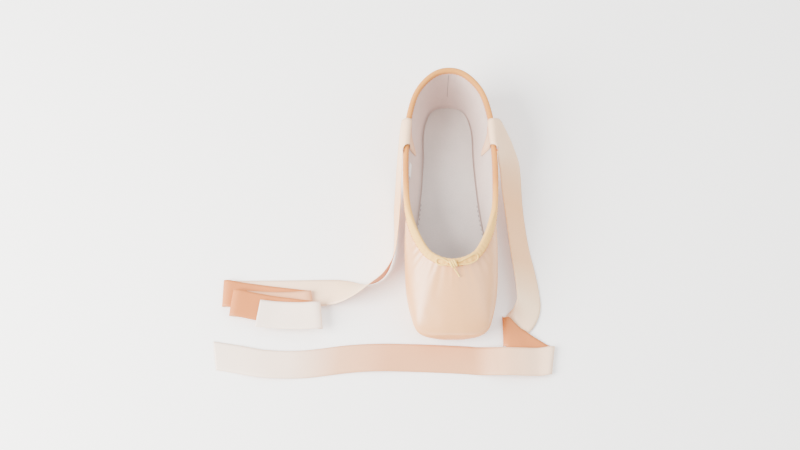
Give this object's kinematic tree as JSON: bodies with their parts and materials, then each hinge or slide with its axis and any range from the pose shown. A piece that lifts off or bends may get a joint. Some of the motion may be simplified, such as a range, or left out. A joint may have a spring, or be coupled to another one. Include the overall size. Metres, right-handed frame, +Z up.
{
  "type": "pointe shoe",
  "caption": "Satin ballet pointe shoe with a stiff boxed toe, small leather sole, drawstring collar and two long ribbons laid out on the floor.",
  "frame": {"origin": "middle of the flat spot under the ball of the foot, on the floor", "axes": "+Z up, +Y from the toe towards the heel, X across the shoe"},
  "size_m": [0.2774, 0.2575, 0.0545],
  "materials": {
    "satin": "satin weave, soft sheen",
    "sole_leather": "suede split, matte",
    "insole_board": "matte cloth over board",
    "casing_cloth": "plain cotton weave",
    "drawstring_cotton": "round cotton cord",
    "ribbon_satin": "satin face, duller back",
    "label_cloth": "woven tape"
  },
  "bodies": {
    "root": {"upper": "satin", "outsole": "sole_leather", "insole": "insole_board", "collar_casing": "casing_cloth", "drawstring_knot": "drawstring_cotton", "drawstring_loop_left": "drawstring_cotton", "drawstring_loop_right": "drawstring_cotton", "drawstring_tail": "drawstring_cotton", "ribbon_left": "ribbon_satin", "ribbon_right": "ribbon_satin", "size_label": "label_cloth"}
  },
  "joints": []
}
